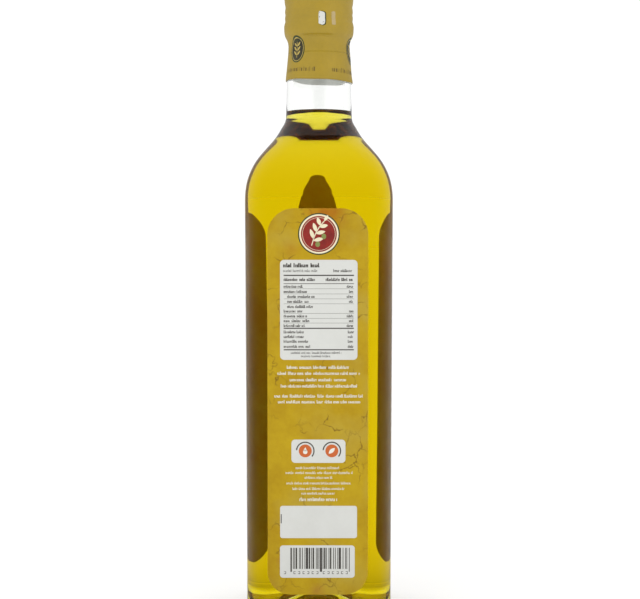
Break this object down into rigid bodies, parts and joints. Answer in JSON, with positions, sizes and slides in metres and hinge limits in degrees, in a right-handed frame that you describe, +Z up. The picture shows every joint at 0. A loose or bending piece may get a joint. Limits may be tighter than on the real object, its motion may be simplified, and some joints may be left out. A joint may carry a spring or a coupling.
{
  "type": "square oil bottle",
  "caption": "Full square glass bottle of olive oil with a gold neck capsule over a screw cap and gold paper labels front and back.",
  "frame": {"origin": "middle of the base, on the plane the bottle stands on", "axes": "+Z up along the bottle; -Y faces the pictured label, +Y the other label; X across the bottle"},
  "size_m": [0.0668, 0.0672, 0.292],
  "materials": {
    "clear_glass": "clear, smooth",
    "oil": "clear golden oil",
    "cap_metal": "satin, with shallow rings",
    "capsule_foil": "gold shrink sleeve, satin",
    "label_paper": "printed, mottled gold"
  },
  "bodies": {
    "root": {"glass_bottle": "clear_glass", "olive_oil": "oil", "screw_cap": "cap_metal", "neck_capsule": "capsule_foil", "back_label": "label_paper", "front_label": "label_paper"}
  },
  "joints": []
}
